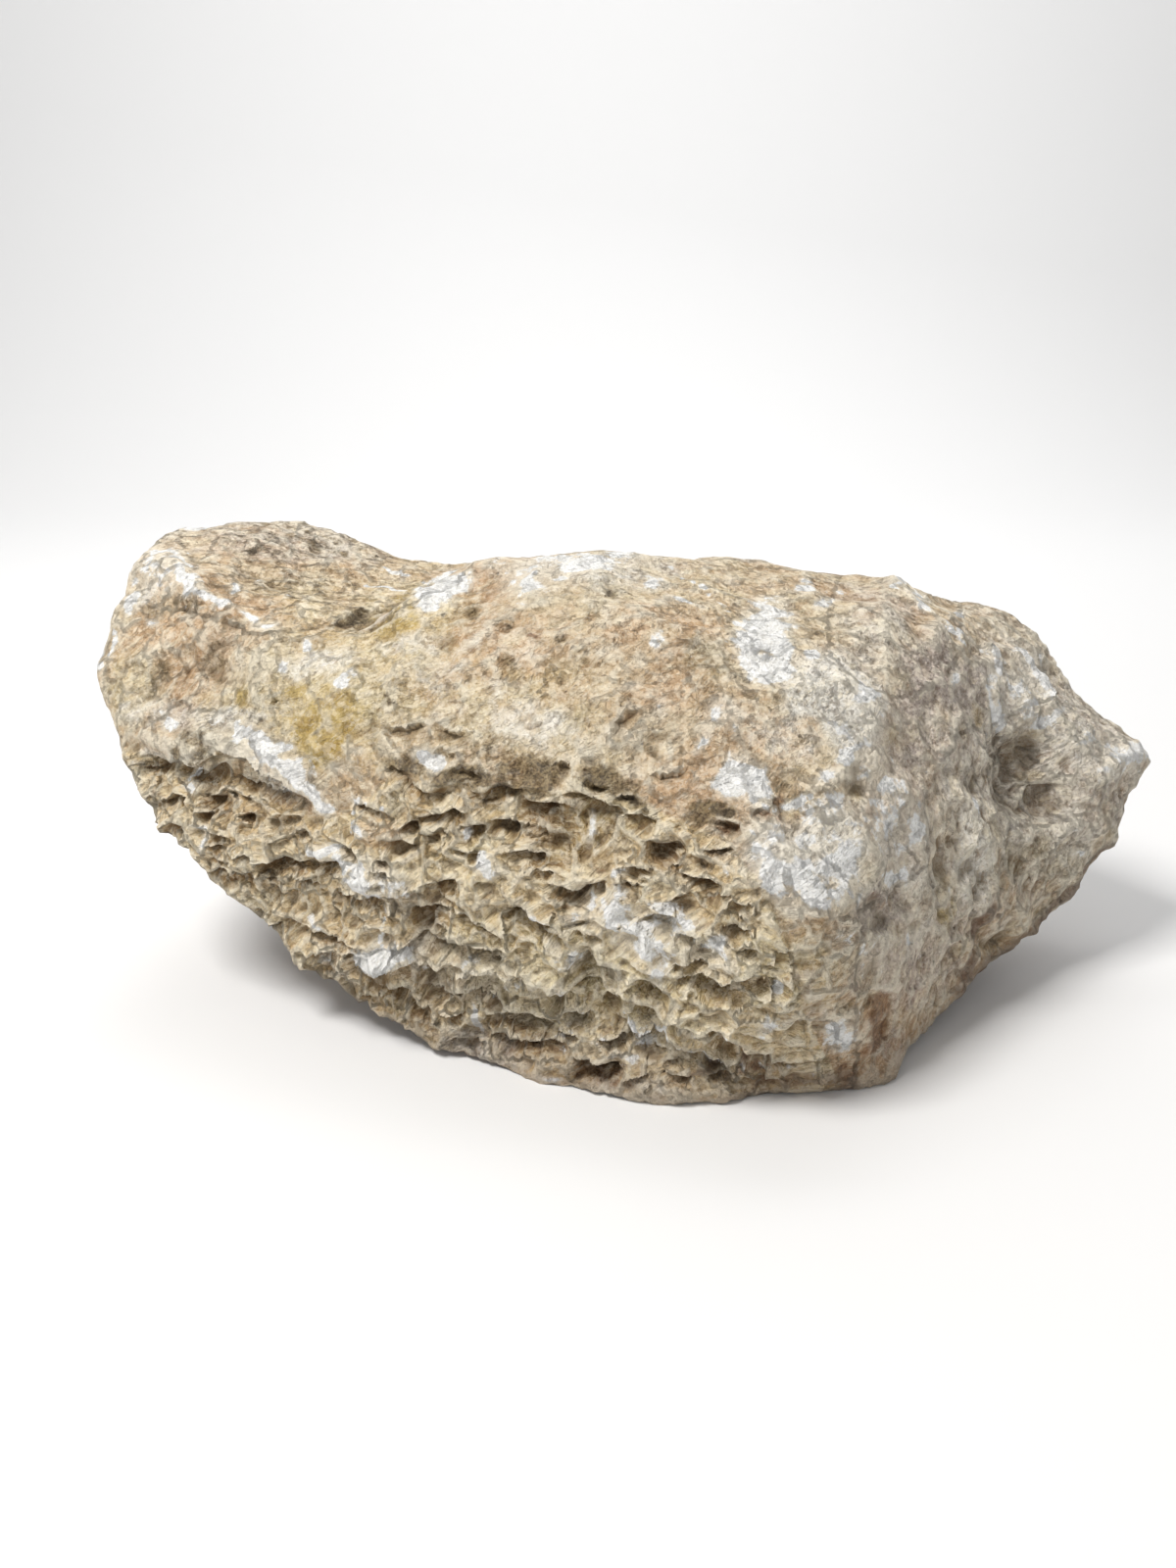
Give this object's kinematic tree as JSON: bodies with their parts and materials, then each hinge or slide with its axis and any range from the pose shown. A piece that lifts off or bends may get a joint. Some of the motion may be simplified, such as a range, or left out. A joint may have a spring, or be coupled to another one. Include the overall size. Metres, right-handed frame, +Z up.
{
  "type": "honeycomb calcite specimen",
  "caption": "Rough raw boulder of honeycomb calcite with a weathered upper face over a scooped, pocketed lower face, resting on a small flat spot.",
  "frame": {"origin": "middle of the stone's length and depth, on the flat spot that it rests on", "axes": "+X along the stone's length towards its spur, +Y away from the honeycombed front, +Z up"},
  "size_m": [0.3443, 0.1923, 0.1367],
  "materials": {
    "calcite": "rough, matt, buff to cream with white, amber and rust patches"
  },
  "bodies": {
    "root": {"calcite_stone": "calcite"}
  },
  "joints": []
}
